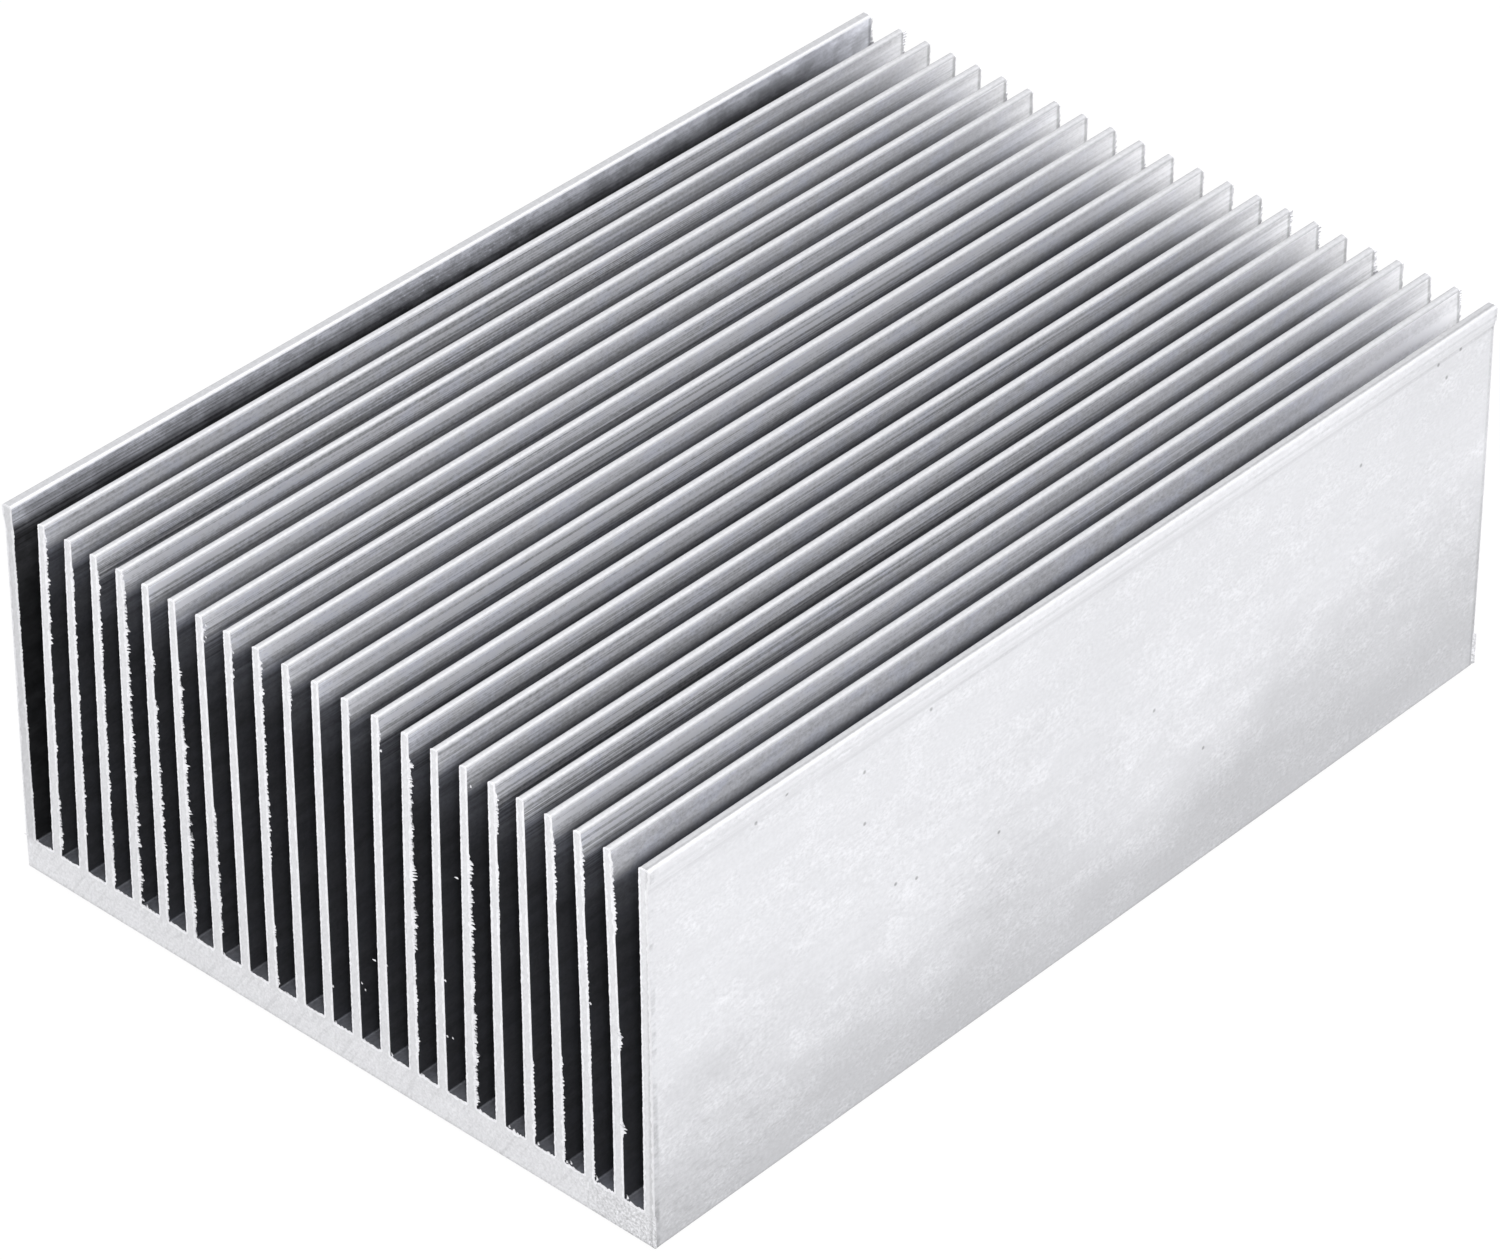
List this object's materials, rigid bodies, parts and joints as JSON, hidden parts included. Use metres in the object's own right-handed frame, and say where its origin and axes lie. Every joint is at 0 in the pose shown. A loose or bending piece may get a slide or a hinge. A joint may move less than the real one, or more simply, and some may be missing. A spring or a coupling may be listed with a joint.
{
  "type": "extruded heat sink",
  "caption": "Rectangular aluminium heat sink sawn from an extruded comb profile, with a flat base plate, tall thin parallel fins and thicker lipped outer fins.",
  "frame": {"origin": "centre of the flat underside of the base plate, at the base of the bounding box", "axes": "+Y along the extrusion, +Z from the flat underside towards the fin tips, +X across the fins"},
  "size_m": [0.069, 0.1, 0.036],
  "materials": {
    "aluminium": "bare mill finish, sawn ends with a burr"
  },
  "bodies": {
    "root": {"heatsink": "aluminium"}
  },
  "joints": []
}
